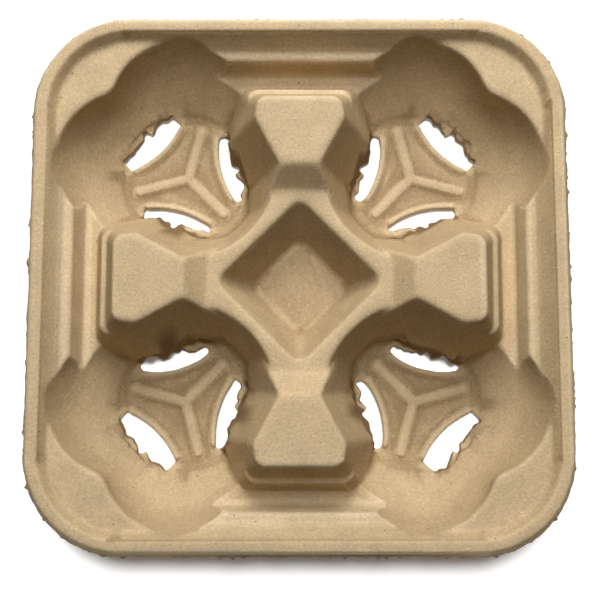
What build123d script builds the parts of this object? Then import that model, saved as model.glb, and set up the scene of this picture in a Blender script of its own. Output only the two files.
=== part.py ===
from build123d import *
import math
import os

os.makedirs("parts", exist_ok=True)

# A four-cup carrier pressed from paper pulp: one sheet of even thickness, with no other piece.
# All sizes are in millimetres. The tray stands on z = 0, and its middle is at x = y = 0.

# The sheet of pulp
wall = 2.0

# The rim: a raised bead whose outer edge is turned down and outwards
side = 216.0
rim_height = 37.0
rim_drop = 7.0
rim_flare = 20.0
rim_crest = 4.4
rim_round = 1.3
rim_wall_lean = 34.0

# The levels of the tray are steps down from the rim, and the pads stand a little above it
web_height = rim_height - 4.5
ledge_high = rim_height - 9.0
ledge_low = rim_height - 20.5
post_height = rim_height + 2.0
step_height = rim_height - 11.0
bridge_height = rim_height - 7.0

# The plan of the tray, in shares of its side, because a larger carrier holds larger cups
corner_radius = 0.183 * side
ledge_length = 0.444 * side
well_centre = 0.2208 * side
floor_radius = 0.1343 * side
lobe_low_reach = 0.0426 * side
pad_outer = 0.338 * side
pad_outer_width = 0.1528 * side
pad_shoulder = 0.2986 * side
pad_shoulder_width = 0.1648 * side
pad_inner = 0.2116 * side
pad_inner_width = 0.0722 * side
post_corner = 0.0232 * side
nose_round = 0.0417 * side

# The edges of the webs in the corners, and the two ledges along the middle of each side
web_round = 2.0
ledge_high_width = 3.5
ledge_wall_lean = 15.0
ledge_round = 1.6

# The cup wells: a cone with two lobes that reach out to the sides, and a nose left between them
floor_round = 6.0
well_lean = 19.6
lobe_low_pinch = 0.6
lobe_bite = 0.8
lobe_top_climb = 0.2
lobe_inset = 1.0

# The raised post between two neighbouring wells, with its flat pad
pad_round = 2.0
post_flank_lean = 20.5
post_front_lean = 20.0
post_back_lean = 45.0
step_width = 2.0
step_inset = 0.6
step_round = 1.2
ramp_start = 1.0
ramp_spread = 1.9
ramp_overlap = 5.4

# The pocket in the middle of the bridge, and the ridge between it and a well
ridge_width = 4.5
ridge_round = 1.8
pocket_depth = 20.5
pocket_lean = 24.6
pocket_corner_low = 3.0
pocket_corner_high = 5.0
pocket_foot_round = 2.5
pocket_round = 2.0

# The floor of a well: a raised rib with three arms, and a crescent slot between each two arms
rib_length = 0.74 * floor_radius
rib_width = 4.0
rib_rise = 1.5
rib_round = 1.2
slot_arc_radius = 1.31 * floor_radius
slot_half_length = 0.5 * floor_radius
corner_slot_inner = 0.586 * floor_radius
corner_slot_outer = 0.879 * floor_radius
side_slot_inner = 0.503 * floor_radius
side_slot_outer = 0.7 * floor_radius
slot_cut_height = 3.0
tear_depth = 3.2
tear_width = 2.6
tear_tooth = 0.9
tear_tooth_place = 7.5
lip_width = 2.2
lip_rise = 1.6
lip_overlap = 0.6
lip_round = 0.9

# Where the construction solids start and stop, clear of the tray
below = -10.0
above = rim_height + 11.0
skirt_trim = 4.5

half = side / 2
corner_direction = 45
standing = (Align.CENTER, Align.CENTER, Align.MIN)


def run(rise, lean):
    """How far a wall that leans from upright travels sideways over a rise."""
    return rise * math.tan(math.radians(lean))


def shift(lean, skin):
    """How far a leaning wall moves sideways when its face moves inwards by the skin."""
    return skin / math.cos(math.radians(lean))


crest_half = half - run(rim_drop, rim_flare) - rim_crest
ramp_foot = pad_inner - run(post_height - bridge_height, post_back_lean)


def well_radius(z):
    """The radius of a well's cone at a height."""
    return floor_radius + run(z - wall, well_lean)


def square(half_size, radius, z):
    return Pos(0, 0, z) * RectangleRounded(2 * half_size, 2 * half_size, radius)


def circle(y, radius, z):
    return Pos(0, y, z) * Circle(radius)


def quarter_turns(shape):
    return [Rot(0, 0, angle) * shape for angle in (0, 90, 180, 270)]


def rim_block(skin):
    """The solid block under the rim, whose skirt leans outwards."""
    edge = rim_height - rim_drop
    top = rim_height - skin
    inset = shift(rim_flare, skin)
    top_inset = inset + run(top - edge, rim_flare)
    edge_outline = square(half - inset, corner_radius - inset, edge)
    top_outline = square(half - top_inset, corner_radius - top_inset, top)
    foot = extrude(square(half - inset, corner_radius - inset, below - skin), edge - below + skin)
    return loft([edge_outline, top_outline], ruled=True) + foot


def rim_basin(skin):
    """The shallow basin inside the rim, down to the webs in the corners."""
    low = web_height - skin
    straight = half - corner_radius
    low_half = crest_half - run(rim_height - low, rim_wall_lean) + shift(rim_wall_lean, skin)
    top_half = crest_half + run(above - rim_height, rim_wall_lean) + shift(rim_wall_lean, skin)
    low_outline = square(low_half, low_half - straight, low)
    top_outline = square(top_half, top_half - straight, above)
    return loft([low_outline, top_outline], ruled=True)


def ledges(skin):
    """The two steps down from the rim along the middle of one side, as a straight cut."""
    web, high, low = (height - skin for height in (web_height, ledge_high, ledge_low))
    rim_wall = crest_half + shift(rim_wall_lean, skin)
    wall_top = rim_wall - run(rim_height - web, rim_wall_lean)
    wall_foot = rim_wall - run(rim_height - high, rim_wall_lean)
    ledge_edge = crest_half - run(rim_height - ledge_high, rim_wall_lean) - ledge_high_width
    step_top = ledge_edge + shift(ledge_wall_lean, skin) - run(skin, ledge_wall_lean)
    step_foot = step_top - run(high - low, ledge_wall_lean)
    section = make_face(Polyline(
        (0, low), (step_foot, low), (step_top, high), (wall_foot, high),
        (wall_top, web), (wall_top, above), (0, above), close=True))
    bends = section.vertices().filter_by(lambda bend: bend.X > 0 and bend.Y < web)
    return extrude(Plane.YZ * fillet(bends, ledge_round), ledge_length / 2, both=True)


def well(skin):
    """The hollow of one cup well. At web level its lobes bite into the foot of the rim's wall."""
    foot = wall - skin
    base = floor_radius + shift(well_lean, skin) - run(skin, well_lean)
    top = base + run(above - foot, well_lean)
    cone = loft([circle(0, base, foot), circle(0, top, above)], ruled=True)
    cone = fillet(cone.edges().sort_by(Axis.Z)[0], floor_round + skin)
    edge = crest_half - run(rim_height - web_height, rim_wall_lean) + lobe_bite - well_centre
    nose = well_radius(web_height)
    reach = (edge**2 - nose**2) / (2 * edge - math.sqrt(2) * nose)
    top_reach = reach + lobe_top_climb * (above - web_height)
    lobe = loft([
        circle(0, base - lobe_inset, foot + lobe_inset),
        circle(lobe_low_reach, well_radius(ledge_low) - lobe_low_pinch + skin, ledge_low),
        circle(reach, edge - reach + skin, web_height),
        circle(top_reach, edge - reach + skin, above)])
    lobes = lobe + mirror(lobe, about=Plane((0, 0, 0), z_dir=(1, -1, 0)))
    steep = lobes.edges().filter_by(lambda edge: abs(edge.tangent_at(0.5).Z) > 0.5)
    outer = steep.filter_by(lambda edge: (edge @ 0.5).X > floor_radius / 2)
    lobes = fillet(outer.sort_by(SortBy.LENGTH)[-1], nose_round - skin)
    return Pos(well_centre, well_centre, 0) * (cone + lobes)


def leaning_block(sides, top, skin):
    """A block under a flat top. Each side passes through a line at pad level and leans out from it."""
    foot = wall / 2 - skin
    block = Pos(0, pad_shoulder, foot) * Box(side, side, top - skin - foot, align=standing)
    for start, end, lean in sides:
        origin = Vector(*start, post_height)
        along = (Vector(*end, post_height) - origin).normalized()
        outward = Vector(along.Y, -along.X, math.tan(math.radians(lean))).normalized()
        block = split(block, Plane(origin - outward * skin, along, outward), keep=Keep.BOTTOM)
    return block


def post_sides(front, shoulder_width):
    """The six sides of a post: two shoulders, two flanks that close in, its back and its front."""
    left = [
        (-pad_outer_width / 2, front),
        (-shoulder_width / 2, pad_shoulder),
        (-pad_inner_width / 2, pad_inner)]
    outline = left + [(-x, y) for x, y in reversed(left)]
    flanks = [post_flank_lean, post_flank_lean]
    leans = flanks + [post_back_lean] + flanks + [post_front_lean]
    return list(zip(outline, outline[1:] + outline[:1], leans))


def round_corners(block, radius):
    """Round the upright edges of a block that reach up to its top."""
    top = block.bounding_box().max.Z
    heights = lambda edge: [corner.Z for corner in edge.vertices()]
    upright = lambda edge: min(heights(edge)) < top - wall and max(heights(edge)) > top - 0.01
    return fillet(block.edges().filter_by(upright), radius)


def round_top(block, radius):
    """Round the edge of a block's flat top."""
    return fillet(block.faces().sort_by(Axis.Z)[-1].edges(), radius)


def post(skin):
    """The raised post: its body, a lower step towards the rim, and a ramp down to the bridge."""
    body = leaning_block(post_sides(pad_outer, pad_shoulder_width), post_height, skin)
    body = round_corners(body, post_corner - skin)
    inner_width = pad_shoulder_width - 2 * step_inset
    step = leaning_block(post_sides(pad_outer + step_width, inner_width), step_height, skin)
    step = round_corners(step, post_corner - skin)
    neck = well_centre - math.sqrt(well_radius(bridge_height)**2 - (well_centre - ramp_foot)**2)
    foot_x = neck + ramp_spread - run(post_height - bridge_height, post_flank_lean)
    head_x = pad_inner_width / 2
    ramp = leaning_block([
        ((-head_x, pad_inner), (-foot_x, ramp_foot), post_flank_lean),
        ((-head_x, pad_inner), (head_x, pad_inner), post_back_lean),
        ((foot_x, ramp_foot), (head_x, pad_inner), post_flank_lean),
        ((head_x, pad_shoulder), (-head_x, pad_shoulder), 0)], post_height - ramp_start, skin)
    if not skin:
        body = round_top(body, pad_round)
        step = round_top(step, step_round)
    return body + step + ramp


def bridge(skin):
    """The block in the middle that the wells leave as a bridge between the posts."""
    width = 2 * ramp_foot + ramp_overlap
    height = bridge_height - skin - below
    return Pos(0, 0, below) * Box(width, width, height, align=standing)


def pocket(skin):
    """The square pocket in the middle of the bridge, turned to stand on its corner."""
    ridge_half = well_centre * math.sqrt(2) - well_radius(bridge_height)
    top_half = ridge_half - ridge_width + shift(pocket_lean, skin)
    foot = bridge_height - pocket_depth - skin
    foot_half = top_half - run(bridge_height - foot, pocket_lean)
    above_half = top_half + run(above - bridge_height, pocket_lean)
    hollow = loft([
        square(foot_half, pocket_corner_low + skin, foot),
        square(above_half, pocket_corner_high + skin, above)], ruled=True)
    foot_edges = hollow.faces().sort_by(Axis.Z)[0].edges()
    return Rot(0, 0, corner_direction) * fillet(foot_edges, pocket_foot_round + skin)


def level_edges(solid, height, reach):
    """The edges of a solid that lie level at a height, no further than the reach from its middle."""
    level = solid.edges().filter_by_position(Axis.Z, height - 0.01, height + 0.01)
    return level.filter_by(lambda edge: max(abs((edge @ 0.5).X), abs((edge @ 0.5).Y)) < reach)


def soften(solid):
    """Round the edges that the wells leave on the webs and on the bridge, then the pocket's edge."""
    web_edges = level_edges(solid, web_height, side).filter_by(GeomType.BSPLINE)
    solid = fillet(web_edges, web_round)
    well_edges = level_edges(solid, bridge_height, pad_inner).filter_by(GeomType.CIRCLE)
    solid = fillet(well_edges, ridge_round)
    pocket_edges = level_edges(solid, bridge_height, pad_inner).filter_by(GeomType.BSPLINE)
    return fillet(pocket_edges, pocket_round)


def below_face(skin):
    """All that lies below the tray's upper face, or below its under face when the skin is the wall."""
    solid = rim_block(skin) - rim_basin(skin)
    if not skin:
        solid = fillet(level_edges(solid, rim_height, side), rim_round)
    solid = solid - quarter_turns(ledges(skin)) + bridge(skin)
    solid = solid - quarter_turns(well(skin)) + quarter_turns(post(skin))
    solid = solid - pocket(skin)
    return solid if skin else soften(solid)


def slot(inner, outer):
    """The cut of one crescent slot along +X, whose outer edge is torn in the middle."""
    sagitta = slot_arc_radius - math.sqrt(slot_arc_radius**2 - slot_half_length**2)
    end = inner + sagitta
    arc = ThreePointArc((end, -slot_half_length), (inner, 0), (end, slot_half_length))
    torn_edge = Polyline(
        (end, slot_half_length), (outer, slot_half_length),
        (outer + tear_tooth, tear_tooth_place), (outer - tear_tooth, tear_width),
        (outer + tear_depth, tear_width / 2), (outer, -tear_width / 2),
        (outer, -slot_half_length), (end, -slot_half_length))
    opening = make_face(arc.edges() + torn_edge.edges())
    return extrude(Pos(0, 0, below) * opening, wall + slot_cut_height - below)


def lip(inner):
    """The rounded lip along the inner edge of a slot. The slot's cut trims its overlap."""
    breadth = lip_width + lip_overlap
    middle = slot_arc_radius + (lip_width - lip_overlap) / 2
    spread = math.degrees(math.asin((slot_half_length - breadth / 2) / middle))
    path = CenterArc((inner + slot_arc_radius, 0), middle, 180 - spread, 2 * spread)
    bead = extrude(SlotArc(path, breadth), wall + lip_rise)
    return fillet(bead.faces().sort_by(Axis.Z)[-1].edges(), lip_round)


def rib_arm():
    """One arm of the rib, from the middle of the well along +X."""
    outline = Pos(rib_length / 2, 0) * SlotOverall(rib_length + rib_width, rib_width)
    arm = extrude(outline, wall + rib_rise)
    return fillet(arm.faces().sort_by(Axis.Z)[-1].edges(), rib_round)


def round_the_well(corner_shape, side_shape):
    """Three shapes a third of a turn apart, the first towards the tray's corner."""
    shapes = [corner_shape, side_shape, side_shape]
    return [Rot(0, 0, corner_direction + 120 * index) * shape for index, shape in enumerate(shapes)]


def in_every_well(shapes):
    """The shapes in all four wells, each well the mirror image of its neighbours."""
    placed = [Pos(well_centre, well_centre, 0) * shape for shape in shapes]
    placed += [mirror(shape, about=Plane.YZ) for shape in placed]
    return placed + [mirror(shape, about=Plane.XZ) for shape in placed]


def under_skirt():
    """The space outside the tray's body, below the edge of the rim's skirt."""
    depth = rim_height - rim_drop - below
    surround = Pos(0, 0, below) * Box(2 * side, 2 * side, depth, align=standing)
    body = extrude(square(half - skirt_trim, corner_radius - skirt_trim, below), depth)
    return surround - body


def cup_carrier():
    arm = Rot(0, 0, 180) * rib_arm()
    raised = round_the_well(lip(corner_slot_inner), lip(side_slot_inner)) + round_the_well(arm, arm)
    slots = round_the_well(
        slot(corner_slot_inner, corner_slot_outer), slot(side_slot_inner, side_slot_outer))
    upper = below_face(0) + in_every_well(raised)
    tray = upper - below_face(wall)
    return tray - under_skirt() - in_every_well(slots)


export_step(cup_carrier(), "parts/cup_carrier.step")
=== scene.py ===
# %% [markdown]
# # A four-cup carrier of moulded pulp
#
# The real tray is pressed from wet paper fibre on a mesh tool, then dried. It is one sheet about 2 mm
# thick, with four cup wells, four posts, a pocket in the middle and a turned-down rim. The CAD part
# already has the right sizes, so this lesson only gives it the soft edges, the rough cut edges and the
# fibre of real pulp.

# %% Load the tray
import math

import bpy
import numpy as np
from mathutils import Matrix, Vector, noise


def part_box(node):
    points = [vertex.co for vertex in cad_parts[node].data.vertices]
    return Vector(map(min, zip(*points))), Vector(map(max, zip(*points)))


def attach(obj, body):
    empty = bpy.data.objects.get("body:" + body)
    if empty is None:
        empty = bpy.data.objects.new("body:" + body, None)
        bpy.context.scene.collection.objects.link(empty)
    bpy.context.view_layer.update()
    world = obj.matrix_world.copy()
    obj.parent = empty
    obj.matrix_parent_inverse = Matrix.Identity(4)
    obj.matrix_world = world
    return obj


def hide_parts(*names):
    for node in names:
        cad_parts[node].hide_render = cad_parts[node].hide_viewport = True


MM = 0.001
PAD_RISE = 2 * MM
SKIRT_DROP = 7 * MM

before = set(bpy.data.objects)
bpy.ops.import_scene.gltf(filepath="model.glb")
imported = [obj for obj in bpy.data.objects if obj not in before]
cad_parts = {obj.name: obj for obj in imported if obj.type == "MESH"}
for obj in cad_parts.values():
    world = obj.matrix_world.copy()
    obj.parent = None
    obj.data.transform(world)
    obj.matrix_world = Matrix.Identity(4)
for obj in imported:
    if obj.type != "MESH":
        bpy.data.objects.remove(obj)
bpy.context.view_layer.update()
cad_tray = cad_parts["cup_carrier"]
tray_low, tray_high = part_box("cup_carrier")
rim_level = tray_high.z - PAD_RISE
skirt_edge = rim_level - SKIRT_DROP
half_side = tray_high.x
print("tray box", [round(v, 4) for v in (*tray_low, *tray_high)])

# %% [markdown]
# ## The camera
#
# The photograph looks down on the tray, with a small tilt that shows a little of the front skirt. The
# lens and the distance come from how much the well floors shrink against the rim. The camera is set
# first, because every later choice is judged through it.

# %% Place the camera
LENS_MM = 63.6
SENSOR_MM = 36
CAMERA_DISTANCE = 414 * MM
CAMERA_TILT = math.radians(7.2)
LOOK_AT = Vector((0.2 * MM, -8.8 * MM, rim_level))
NEAREST_SEEN = 10 * MM

camera_data = bpy.data.cameras.new("camera")
camera_data.sensor_width = SENSOR_MM
camera_data.lens = LENS_MM
camera_data.clip_start = NEAREST_SEEN
camera = bpy.data.objects.new("camera", camera_data)
bpy.context.scene.collection.objects.link(camera)
towards_camera = Vector((0, -math.sin(CAMERA_TILT), math.cos(CAMERA_TILT)))
camera.location = LOOK_AT + towards_camera * CAMERA_DISTANCE
camera.rotation_euler = (CAMERA_TILT, 0, 0)
bpy.context.scene.camera = camera
print("camera at", [round(v, 3) for v in camera.location])

# %% [markdown]
# ## The soft sheet
#
# Pulp can't hold a sharp edge: every crest and every hollow comes off the tool a little rounded. Bevels
# on all the CAD edges would clash where three walls meet. A voxel remesh turns the solid into an even net
# of small quads, and a few rounds of smoothing then melt all edges alike, as wet fibre does.

# %% Remesh and soften the sheet
WELD_DISTANCE = 0.001 * MM
VOXEL = 0.8 * MM
SMOOTH_STEP = 0.5
SOFTEN_ROUNDS = 3


def with_modifier(piece, kind, **settings):
    """Put one modifier on a piece and apply it."""
    modifier = piece.modifiers.new(kind.lower(), kind)
    for name, value in settings.items():
        setattr(modifier, name, value)
    shaped = piece.evaluated_get(bpy.context.evaluated_depsgraph_get())
    mesh = bpy.data.meshes.new_from_object(shaped)
    piece.modifiers.clear()
    piece.data = mesh


tray = bpy.data.objects.new("pulp_tray", cad_tray.data.copy())
bpy.context.scene.collection.objects.link(tray)
tray.data.materials.clear()
with_modifier(tray, "WELD", merge_threshold=WELD_DISTANCE)
with_modifier(tray, "REMESH", mode="VOXEL", voxel_size=VOXEL)
with_modifier(tray, "SMOOTH", factor=SMOOTH_STEP, iterations=SOFTEN_ROUNDS)
print("soft sheet has", len(tray.data.vertices), "points")

# %% [markdown]
# ## The worn middle
#
# The posts and the bridge stand highest and are rubbed by cups and hands, so their edges are rounder than
# the ribs in the wells and the ledges at the sides. A vertex group gives that region more rounds of
# smoothing.

# %% Wear the posts and the bridge
WORN_HALF = 70 * MM
WORN_LOW = 14 * MM
WORN_ROUNDS = 14


def read_points(piece):
    """The places and the normals of a piece's points, one row a point."""
    values = np.empty((2, len(piece.data.vertices) * 3), np.float32)
    piece.data.vertices.foreach_get("co", values[0])
    piece.data.vertex_normals.foreach_get("vector", values[1])
    return values.reshape(2, -1, 3)


def add_group(piece, name, chosen):
    """Keep the chosen points of a piece as a vertex group."""
    piece.vertex_groups.new(name=name).add(np.flatnonzero(chosen).tolist(), 1, "ADD")


points = read_points(tray)[0]
in_middle = np.abs(points[:, :2]).max(axis=1) < WORN_HALF
add_group(tray, "worn", in_middle & (points[:, 2] > WORN_LOW))
with_modifier(tray, "SMOOTH", factor=SMOOTH_STEP, iterations=WORN_ROUNDS, vertex_group="worn")
print("worn region is", round(2 * WORN_HALF / MM), "mm wide")

# %% [markdown]
# ## Thin out the net
#
# The even net has far more quads than the flat places need. The decimate modifier merges points where the
# sheet is flat and keeps them where it bends. The skirt edge is left out of its vertex group and so stays
# whole, because it is straight but gets small burrs later.

# %% Thin out
MOST_TRIANGLES = 190000
CORNER_RADIUS = 39.5 * MM
SKIRT_BAND = 3.0 * MM
BELOW_EDGE = 1 * MM


def past_corner(places):
    """How far places lie out from the square between the centres of the corner arcs, along x and y."""
    return np.clip(np.abs(places[:, :2]) - (half_side - CORNER_RADIUS), 0, None)


def skirt_share(places):
    """One at the lower edge of the skirt, fading to zero over the skirt band, and zero elsewhere."""
    outside = np.linalg.norm(past_corner(places), axis=1) > CORNER_RADIUS - 2 * SKIRT_BAND
    above_edge = places[:, 2] - skirt_edge
    return np.clip(1 - above_edge / SKIRT_BAND, 0, 1) * outside * (above_edge > -BELOW_EDGE)


add_group(tray, "thinned", skirt_share(read_points(tray)[0]) == 0)
tray.data.calc_loop_triangles()
kept_share = MOST_TRIANGLES / len(tray.data.loop_triangles)
with_modifier(tray, "DECIMATE", ratio=min(1, kept_share), vertex_group="thinned")
tray.data.calc_loop_triangles()
print("thinned tray has", len(tray.data.loop_triangles), "triangles")

# %% [markdown]
# ## Uneven pulp
#
# The sheet dries unevenly, so no wall is quite true. Moving each point a little along its normal, by
# smooth noise of a few sizes, gives slow waves and small lumps. A sculpted surface would do the same, but
# noise is the same in every run.

# %% Move the points
WAVES = [(22 * MM, 0.22 * MM), (6 * MM, 0.10 * MM), (2.2 * MM, 0.07 * MM)]
NOISE_STEPS = (17.37, 5.13, 9.5)


def smooth_noise(places, size, seed):
    """One value of smooth noise, from about -1 to 1, for each place."""
    offset = Vector([seed * step for step in NOISE_STEPS])
    return np.array([noise.noise(Vector(place) / size + offset) for place in places])


points, normals = read_points(tray)
count = len(points)
lift = np.zeros(count)
for seed, (size, wave_height) in enumerate(WAVES):
    lift += wave_height * smooth_noise(points, size, seed)
moved = points + normals * lift[:, None]
print("waves of up to", round(float(np.abs(lift).max()) / MM, 2), "mm")

# %% [markdown]
# ## The rough skirt edge
#
# The skirt ends where the pulp ran thin at the edge of the tool, so its edge wanders and carries small
# burrs. The points near that edge move outwards, all at one place by the same amount, so that the outline
# itself is rough. How near they lie is also kept as "torn", for the painted shade on rough edges.

# %% Roughen the skirt edge
SKIRT_PUSH = 0.3 * MM
SKIRT_WANDER = 0.5 * MM
SKIRT_BURR = 2.4 * MM
BURR_SIZE = 1.87 * MM
BURR_START = 0.2
BURR_SEED = 7
WANDER_SEED = 9

near_edge = skirt_share(points)
level_places = points * (1, 1, 0)
burr = np.clip(smooth_noise(level_places, BURR_SIZE, BURR_SEED) - BURR_START, 0, None)
edge_wander = SKIRT_WANDER * smooth_noise(level_places, 2 * BURR_SIZE, WANDER_SEED)
reach = near_edge * (SKIRT_PUSH + SKIRT_BURR * burr + edge_wander)
side_of = np.where(points[:, :2] < 0, -1, 1)
outwards = side_of * past_corner(points)
outwards /= np.maximum(np.linalg.norm(outwards, axis=1), MM)[:, None]
moved[:, :2] += outwards * reach[:, None]
torn = near_edge.copy()
print("skirt edge moved by up to", round(float(np.abs(reach).max()) / MM, 2), "mm")

# %% [markdown]
# ## The torn slots
#
# Each well floor has three slots. The tool presses their inner edge cleanly, but on the far side the wet
# pulp tears. All wells are mirror images, so the points are folded into one well, where a slot is known
# by its direction and by how far out its torn edge lies. The noise uses the true places, so no two tears
# are alike.

# %% Tear the slots
WELL_CENTRE = 47.7 * MM
SLOTS = [(45, 25.5 * MM), (165, 20.3 * MM), (285, 20.3 * MM)]
SLOT_HALF_LENGTH = 15.5 * MM
TEAR_BAND = 5.5 * MM
TEAR_PAST_EDGE = 1 * MM
TEAR_TOP = 8 * MM
TEARS = [(6.0 * MM, 2.4 * MM), (2.2 * MM, 1.0 * MM)]
TEAR_SEED = 11
TEAR_CORE = 0.5
CUT_FACE_START = 0.45
CUT_FACE_SPAN = 0.35

folded = np.abs(points[:, :2]) - WELL_CENTRE
folded_normals = normals[:, :2] * side_of
tear_wander = sum(depth * smooth_noise(level_places, size, TEAR_SEED) for size, depth in TEARS)
for turn, torn_edge in SLOTS:
    out = np.array((math.cos(math.radians(turn)), math.sin(math.radians(turn))))
    across = np.array((-out[1], out[0]))
    near_tear = np.clip(1 - np.abs(folded @ out - torn_edge - TEAR_PAST_EDGE) / TEAR_BAND, 0, 1)
    near_tear *= (np.abs(folded @ across) < SLOT_HALF_LENGTH) * (points[:, 2] < TEAR_TOP)
    moved[:, :2] += (near_tear * tear_wander)[:, None] * out * side_of
    # The cut faces inside each tear are kept in "torn" too, for the painted shade on the sheet's cut
    # thickness.
    cut_face = np.clip((-(folded_normals @ out) - CUT_FACE_START) / CUT_FACE_SPAN, 0, 1)
    torn = np.maximum(torn, cut_face * (near_tear > TEAR_CORE))
print("torn points:", int((torn > TEAR_CORE).sum()))

# %% Write the moved points back
def keep_on_mesh(piece, name, values):
    """Keep one value a point on the mesh, where a material can read it."""
    layer = piece.data.attributes.new(name, "FLOAT", "POINT")
    layer.data.foreach_set("value", values.astype(np.float32).ravel())


tray.data.vertices.foreach_set("co", moved.astype(np.float32).ravel())
tray.data.update()
tray.data.polygons.foreach_set("use_smooth", np.ones(len(tray.data.polygons), bool))
keep_on_mesh(tray, "torn", torn)
print("tray has", count, "points")

# %% [markdown]
# ## Crests and creases
#
# Crests get a painted highlight and creases a painted shade. To tell them apart, each point is compared
# with the mean of its neighbours: it lies above them on a crest and below them in a crease. The result is
# kept on the mesh, where the material can read it.

# %% Measure crests
CREST_ROUNDS = 8
CREST_BLUR_ROUNDS = 2

edges = np.empty(len(tray.data.edges) * 2, np.int64)
tray.data.edges.foreach_get("vertices", edges)
first, second = edges.reshape(-1, 2).T
neighbours = np.bincount(first, minlength=count) + np.bincount(second, minlength=count)


def settle(values, rounds):
    """Move each row of values half way to the mean of its neighbours, a number of times."""
    for _ in range(rounds):
        total = np.empty_like(values)
        for axis in range(values.shape[1]):
            column = values[:, axis]
            total[:, axis] = np.bincount(first, column[second], count)
            total[:, axis] += np.bincount(second, column[first], count)
        values = 0.5 * values + 0.5 * total / neighbours[:, None]
    return values


settled = settle(points.astype(float), CREST_ROUNDS)
crest = ((points - settled) * normals).sum(axis=1)[:, None] / MM
crest = settle(crest, CREST_BLUR_ROUNDS)
keep_on_mesh(tray, "crest", crest)
print("crest from", round(float(crest.min()), 2), "to", round(float(crest.max()), 2), "mm")

# %% [markdown]
# ## Fibre, the shared effect
#
# Pulp is fibre all through: its faces and its torn edges show the same grain. So the grain is a node
# group, built once. It gives clouds of tone, a fine grain, single pale fibres, a few dark specks of waste
# paper and a height for the bump. A photograph of pulp could do the same, but noise has no seams and
# needs no file.

# %% Make helpers for nodes
def feed(tree, value, socket):
    """Link a socket to another one, or set it to a plain value."""
    if isinstance(value, bpy.types.NodeSocket):
        tree.links.new(value, socket)
    else:
        socket.default_value = value


def math_node(tree, operation, *values):
    """A math node whose inputs are sockets or plain numbers."""
    node = tree.nodes.new("ShaderNodeMath")
    node.operation = operation
    for value, socket in zip(values, node.inputs):
        feed(tree, value, socket)
    return node.outputs[0]


def noise_node(tree, vector, scale, detail, roughness):
    """Smooth noise from 0 to 1."""
    node = tree.nodes.new("ShaderNodeTexNoise")
    names = ("Vector", "Scale", "Detail", "Roughness")
    for name, value in zip(names, (vector, scale, detail, roughness)):
        feed(tree, value, node.inputs[name])
    return node.outputs["Fac"]


def ramp(tree, value, low, high, to_low=0, to_high=1):
    """Map a range of values to another range, smoothly and within its ends."""
    node = tree.nodes.new("ShaderNodeMapRange")
    node.interpolation_type = "SMOOTHSTEP"
    names = ("Value", "From Min", "From Max", "To Min", "To Max")
    for name, number in zip(names, (value, low, high, to_low, to_high)):
        feed(tree, number, node.inputs[name])
    return node.outputs["Result"]


print("node helpers are ready")

# %% Start the fibre group with clouds and grain
FIBRE_EFFECTS = ("Clouds", "Grain", "Strands", "Specks", "Height")
CLOUDS = {"scale": 90, "detail": 4, "roughness": 0.6}
GRAIN = {"scale": 900, "detail": 5, "roughness": 0.7}

fibre = bpy.data.node_groups.new("pulp_fibre", "ShaderNodeTree")
fibre.interface.new_socket("Place", in_out="INPUT", socket_type="NodeSocketVector")
for name in FIBRE_EFFECTS:
    fibre.interface.new_socket(name, in_out="OUTPUT", socket_type="NodeSocketFloat")
place = fibre.nodes.new("NodeGroupInput").outputs["Place"]
clouds = noise_node(fibre, place, **CLOUDS)
grain = noise_node(fibre, place, **GRAIN)
print("fibre group gives", ", ".join(FIBRE_EFFECTS))

# %% Add fibres in three directions
FIBRE_TURNS = (12, 73, 131)
FIBRE_LEAN = (15, -10)
FIBRE_SIZE = (4.0 * MM, 0.8 * MM, 0.8 * MM)
FIBRE_SHIFT = (0.31, 0.77, 0.1)
STREAKS = {"scale": 1, "detail": 1, "roughness": 0.5}
STREAK_EDGE = (0.66, 0.76)

streaks = []
for index, turn in enumerate(FIBRE_TURNS):
    mapping = fibre.nodes.new("ShaderNodeMapping")
    mapping.vector_type = "TEXTURE"
    mapping.inputs["Rotation"].default_value = [math.radians(angle) for angle in (*FIBRE_LEAN, turn)]
    mapping.inputs["Scale"].default_value = FIBRE_SIZE
    mapping.inputs["Location"].default_value = [index * shift for shift in FIBRE_SHIFT]
    feed(fibre, place, mapping.inputs["Vector"])
    streak = noise_node(fibre, mapping.outputs["Vector"], **STREAKS)
    streaks.append(ramp(fibre, streak, *STREAK_EDGE))
strands = streaks[0]
for streak in streaks[1:]:
    strands = math_node(fibre, "MAXIMUM", strands, streak)
print("fibres lie in", len(streaks), "directions")

# %% Add specks and close the group
SPECK_CELLS = 240
SPECK_EDGE = (0.06, 0.12)
SPECK_CHOICE = (0.80, 0.86)
STRAND_HEIGHT = 0.35

cells = fibre.nodes.new("ShaderNodeTexVoronoi")
cells.inputs["Scale"].default_value = SPECK_CELLS
feed(fibre, place, cells.inputs["Vector"])
spot = ramp(fibre, cells.outputs["Distance"], *SPECK_EDGE, 1, 0)
cell_colour = fibre.nodes.new("ShaderNodeSeparateColor")
feed(fibre, cells.outputs["Color"], cell_colour.inputs["Color"])
specks = math_node(fibre, "MULTIPLY", spot, ramp(fibre, cell_colour.outputs["Red"], *SPECK_CHOICE))
fibre_height = math_node(fibre, "ADD", grain, math_node(fibre, "MULTIPLY", strands, STRAND_HEIGHT))
group_end = fibre.nodes.new("NodeGroupOutput")
for name, effect in zip(FIBRE_EFFECTS, (clouds, grain, strands, specks, fibre_height)):
    feed(fibre, effect, group_end.inputs[name])
print("fibre group has", len(fibre.nodes), "nodes")
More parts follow.
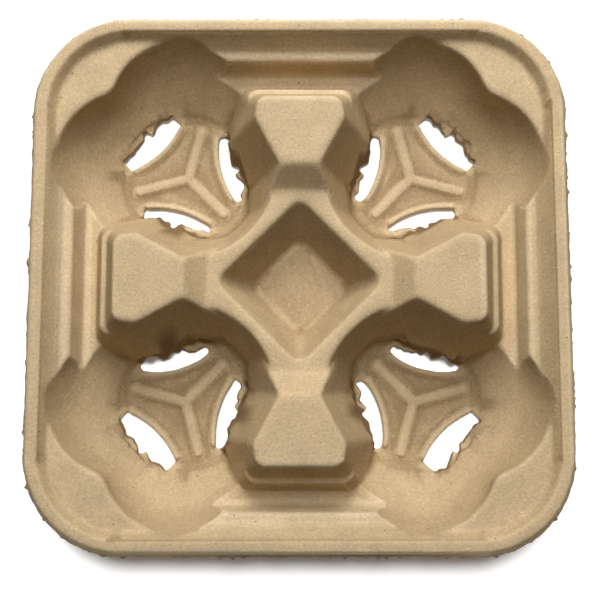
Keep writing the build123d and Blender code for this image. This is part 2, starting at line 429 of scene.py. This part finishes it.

# %% [markdown]
# ## The colour of the sheet
#
# The flat places of the tray keep the pulp's own colour, and its steep walls are painted darker and
# browner, as painted shade, so the colour follows the slope of the sheet first. Then come the crests and
# creases, with a painted highlight and a painted shade. They are marked more strongly deep in the wells,
# so the ribs and lips stand out. Painting them by hand would give the same, but values kept on the mesh
# follow the shape by themselves.

# %% Start the pulp material
pulp = bpy.data.materials.new("moulded_pulp")
pulp.use_nodes = True
tree = pulp.node_tree
shader = tree.nodes["Principled BSDF"]
coordinates = tree.nodes.new("ShaderNodeTexCoord")
texture = tree.nodes.new("ShaderNodeGroup")
texture.node_tree = fibre
feed(tree, coordinates.outputs["Object"], texture.inputs["Place"])
print("material", pulp.name, "reads the group", fibre.name)

# %% Colour it by slope, crests and creases
FLAT_COLOUR = (0.62, 0.468, 0.28, 1)
# Painted shade: the steep walls get this darker, browner colour.
WALL_SHADE_COLOUR = (0.475, 0.35, 0.195, 1)
# Painted highlight on crests.
CREST_HIGHLIGHT_COLOUR = (0.80, 0.65, 0.43, 1)
# Painted shade in creases.
CREASE_SHADE_COLOUR = (0.28, 0.18, 0.08, 1)
STEEP_TO_FLAT = (0.45, 0.92)
DEEP = 4 * MM
SHALLOW = 14 * MM
# Deep in the wells the crest values, and so the painted highlight and shade, are this many times
# stronger.
DEEP_RELIEF = 2.4
CREST_RANGE = (0.12, 0.60)
CREST_MOST = 0.5
CREASE_RANGE = (-0.10, -0.36)
CREASE_MOST = 0.65
MIX_INPUTS = (0, 6, 7)
MIX_OUTPUT = 2


def mix(tree, factor, under, over, blend="MIX"):
    """Lay one colour over another. Each is a socket or a plain colour."""
    node = tree.nodes.new("ShaderNodeMix")
    node.data_type = "RGBA"
    node.blend_type = blend
    for value, index in zip((factor, under, over), MIX_INPUTS):
        feed(tree, value, node.inputs[index])
    return node.outputs[MIX_OUTPUT]


def upright(tree, vector):
    """The z part of a vector."""
    node = tree.nodes.new("ShaderNodeSeparateXYZ")
    feed(tree, vector, node.inputs["Vector"])
    return node.outputs["Z"]


def attribute(tree, name):
    """A value that is kept on the mesh."""
    node = tree.nodes.new("ShaderNodeAttribute")
    node.attribute_name = name
    return node.outputs["Fac"]


flatness = math_node(tree, "ABSOLUTE", upright(tree, coordinates.outputs["Normal"]))
steep = ramp(tree, flatness, *STEEP_TO_FLAT, 1, 0)
relief = ramp(tree, upright(tree, coordinates.outputs["Object"]), DEEP, SHALLOW, DEEP_RELIEF, 1)
crest_value = math_node(tree, "MULTIPLY", attribute(tree, "crest"), relief)
# Painted shade on the steep walls, by their slope.
colour = mix(tree, steep, FLAT_COLOUR, WALL_SHADE_COLOUR)
# Painted highlight on crests.
colour = mix(tree, ramp(tree, crest_value, *CREST_RANGE, 0, CREST_MOST), colour, CREST_HIGHLIGHT_COLOUR)
# Painted shade in creases.
colour = mix(tree, ramp(tree, crest_value, *CREASE_RANGE, 0, CREASE_MOST), colour, CREASE_SHADE_COLOUR)
print("slope, crests and creases take", len(tree.nodes), "nodes")

# %% [markdown]
# ## Fibres, specks and torn edges
#
# Over the plain colour lie the clouds and the grain of the fibre group, as a tone that the colour is
# multiplied by. Single fibres are paler than the sheet and specks are darker, so each is laid over it as
# its own colour. Torn edges come last: their cut faces and the skirt's lower edge get a dark painted
# shade, which hides the rest.

# %% Lay the fibre over the colour
STRAND_COLOUR = (0.82, 0.72, 0.56, 1)
SPECK_COLOUR = (0.16, 0.10, 0.05, 1)
# Painted shade on cut faces and on the skirt's lower edge.
TORN_EDGE_SHADE_COLOUR = (0.15, 0.085, 0.035, 1)
NOISE_MIDDLE = (0.25, 0.75)
CLOUD_TONES = (0.92, 1.06)
GRAIN_TONES = (0.84, 1.14)
STRAND_MOST = 0.3
SPECK_MOST = 0.7
TORN_RANGE = (0.2, 0.8)
TORN_MOST = 0.8


def grey(tree, value):
    """A grey colour from a value."""
    node = tree.nodes.new("ShaderNodeCombineColor")
    for socket in node.inputs[:3]:
        feed(tree, value, socket)
    return node.outputs["Color"]


cloud_tone = ramp(tree, texture.outputs["Clouds"], *NOISE_MIDDLE, *CLOUD_TONES)
grain_tone = ramp(tree, texture.outputs["Grain"], *NOISE_MIDDLE, *GRAIN_TONES)
tone = math_node(tree, "MULTIPLY", cloud_tone, grain_tone)
colour = mix(tree, 1, colour, grey(tree, tone), "MULTIPLY")
strand_mask = math_node(tree, "MULTIPLY", texture.outputs["Strands"], STRAND_MOST)
colour = mix(tree, strand_mask, colour, STRAND_COLOUR)
speck_mask = math_node(tree, "MULTIPLY", texture.outputs["Specks"], SPECK_MOST)
colour = mix(tree, speck_mask, colour, SPECK_COLOUR)
# Painted shade on torn edges.
torn_shade_mask = ramp(tree, attribute(tree, "torn"), *TORN_RANGE, 0, TORN_MOST)
colour = mix(tree, torn_shade_mask, colour, TORN_EDGE_SHADE_COLOUR)
feed(tree, colour, shader.inputs["Base Color"])
print("the whole colour takes", len(tree.nodes), "nodes")

# %% [markdown]
# ## The dry surface
#
# Dry pulp is matt and slightly furry. High roughness and a weak reflection make it matt, and the height
# of the fibre group goes through a bump node, because fibres are too fine to model as geometry.

# %% Finish the material and dress the tray
BUMP_STRENGTH = 0.8
BUMP_DEPTH = 0.3 * MM
PULP_ROUGHNESS = 0.95
PULP_REFLECTION = 0.12

bump = tree.nodes.new("ShaderNodeBump")
bump.inputs["Strength"].default_value = BUMP_STRENGTH
bump.inputs["Distance"].default_value = BUMP_DEPTH
feed(tree, texture.outputs["Height"], bump.inputs["Height"])
feed(tree, bump.outputs["Normal"], shader.inputs["Normal"])
shader.inputs["Roughness"].default_value = PULP_ROUGHNESS
shader.inputs["Specular IOR Level"].default_value = PULP_REFLECTION
tray.data.materials.append(pulp)
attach(tray, "root")
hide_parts("cup_carrier")
print("pulp material has", len(tree.nodes), "nodes")

# %% [markdown]
# ## The white ground
#
# The tray stands with its lowest points on plain white paper. The floor is a white diffuse surface, so it
# takes the tray's soft shadow. A little white that only the camera sees lifts it to pure white without
# lighting the tray, which a glowing floor would do.

# %% Lay the floor
FLOOR_HALF = 1.5
FLOOR_COLOUR = (0.92, 0.92, 0.92, 1)
WHITE = (1, 1, 1, 1)
CAMERA_WHITE = 0.1


def seen_rays(tree):
    """One for rays from the camera, also by way of a mirror or through glass, and zero for light."""
    rays = tree.nodes.new("ShaderNodeLightPath").outputs
    mirrored = math_node(tree, "MAXIMUM", rays["Is Glossy Ray"], rays["Is Transmission Ray"])
    return math_node(tree, "MAXIMUM", rays["Is Camera Ray"], mirrored)


floor_mesh = bpy.data.meshes.new("floor")
corner_signs = [(-1, -1), (1, -1), (1, 1), (-1, 1)]
corners = [(x * FLOOR_HALF, y * FLOOR_HALF, 0) for x, y in corner_signs]
floor_mesh.from_pydata(corners, [], [(0, 1, 2, 3)])
floor = bpy.data.objects.new("floor", floor_mesh)
floor.location.z = float(moved[:, 2].min())
bpy.context.scene.collection.objects.link(floor)

paper = bpy.data.materials.new("white_ground")
paper.use_nodes = True
tree = paper.node_tree
shader = tree.nodes["Principled BSDF"]
shader.inputs["Base Color"].default_value = FLOOR_COLOUR
shader.inputs["Roughness"].default_value = 1
shader.inputs["Specular IOR Level"].default_value = 0
shader.inputs["Emission Color"].default_value = WHITE
camera_glow = math_node(tree, "MULTIPLY", seen_rays(tree), CAMERA_WHITE)
feed(tree, camera_glow, shader.inputs["Emission Strength"])
floor_mesh.materials.append(paper)
print("floor at", round(floor.location.z / MM, 2), "mm")

# %% [markdown]
# ## The lamps on the tray
#
# A large soft lamp stands behind the tray, so walls that face the front lie in shade. A weaker one hangs
# higher and fills the ledges and floors. Bounced light does the rest, and with the painted wall shade it
# makes deep walls warmer than flat pads.

# %% Set the lamps for the tray
LAMP_DISTANCE = 1.0
LAMP_SIZE = 0.6
TRAY_LAMPS = [("key", 40, 8.7), ("top", 70, 4.7)]


def place_lamp(data, height, lit):
    """Hang a lamp behind the tray, at a height in degrees. It lights one piece and no other."""
    lamp = bpy.data.objects.new(data.name, data)
    angle = math.radians(height)
    lamp.location = Vector((0, math.cos(angle), math.sin(angle))) * LAMP_DISTANCE
    lamp.rotation_euler = (-lamp.location).to_track_quat("-Z", "Y").to_euler()
    bpy.context.scene.collection.objects.link(lamp)
    group = bpy.data.collections.new("lit_by_" + data.name)
    group.objects.link(lit)
    lamp.light_linking.receiver_collection = group
    print(data.name, "lamp at", [round(v, 3) for v in lamp.location])


for name, lamp_height, power in TRAY_LAMPS:
    disc = bpy.data.lights.new(name, "AREA")
    disc.shape = "DISK"
    disc.size = LAMP_SIZE
    disc.energy = power
    place_lamp(disc, lamp_height, tray)

# %% [markdown]
# ## The shadow on the ground
#
# In the photograph the tray's shadow is a narrow dark edge under its front skirt, much shorter than the
# key lamp would throw. So the ground has a lamp of its own, high up, and light linking keeps the lamps
# apart. It is a sun lamp, because that lights the whole ground evenly.

# %% Light the ground
GROUND_LAMP_HEIGHT = 75
GROUND_LAMP_SPREAD = 15
GROUND_LAMP_STRENGTH = 3.6

sun = bpy.data.lights.new("ground", "SUN")
sun.energy = GROUND_LAMP_STRENGTH
sun.angle = math.radians(GROUND_LAMP_SPREAD)
place_lamp(sun, GROUND_LAMP_HEIGHT, floor)

# %% [markdown]
# ## The sky
#
# A weak, warm sky fills the shade on the tray, as light from the walls of a studio does. The camera sees
# it as plain white, so the ground seems to have no end.

# %% Set the sky
SKY = 0.04
SKY_COLOUR = (1, 0.72, 0.42, 1)

world = bpy.data.worlds.new("studio")
world.use_nodes = True
bpy.context.scene.world = world
tree = world.node_tree
sky = tree.nodes["Background"]
seen = seen_rays(tree)
feed(tree, mix(tree, seen, SKY_COLOUR, WHITE), sky.inputs["Color"])
feed(tree, ramp(tree, seen, 0, 1, SKY, 1), sky.inputs["Strength"])
bpy.context.scene.view_settings.view_transform = "Standard"
print("sky strength", SKY)
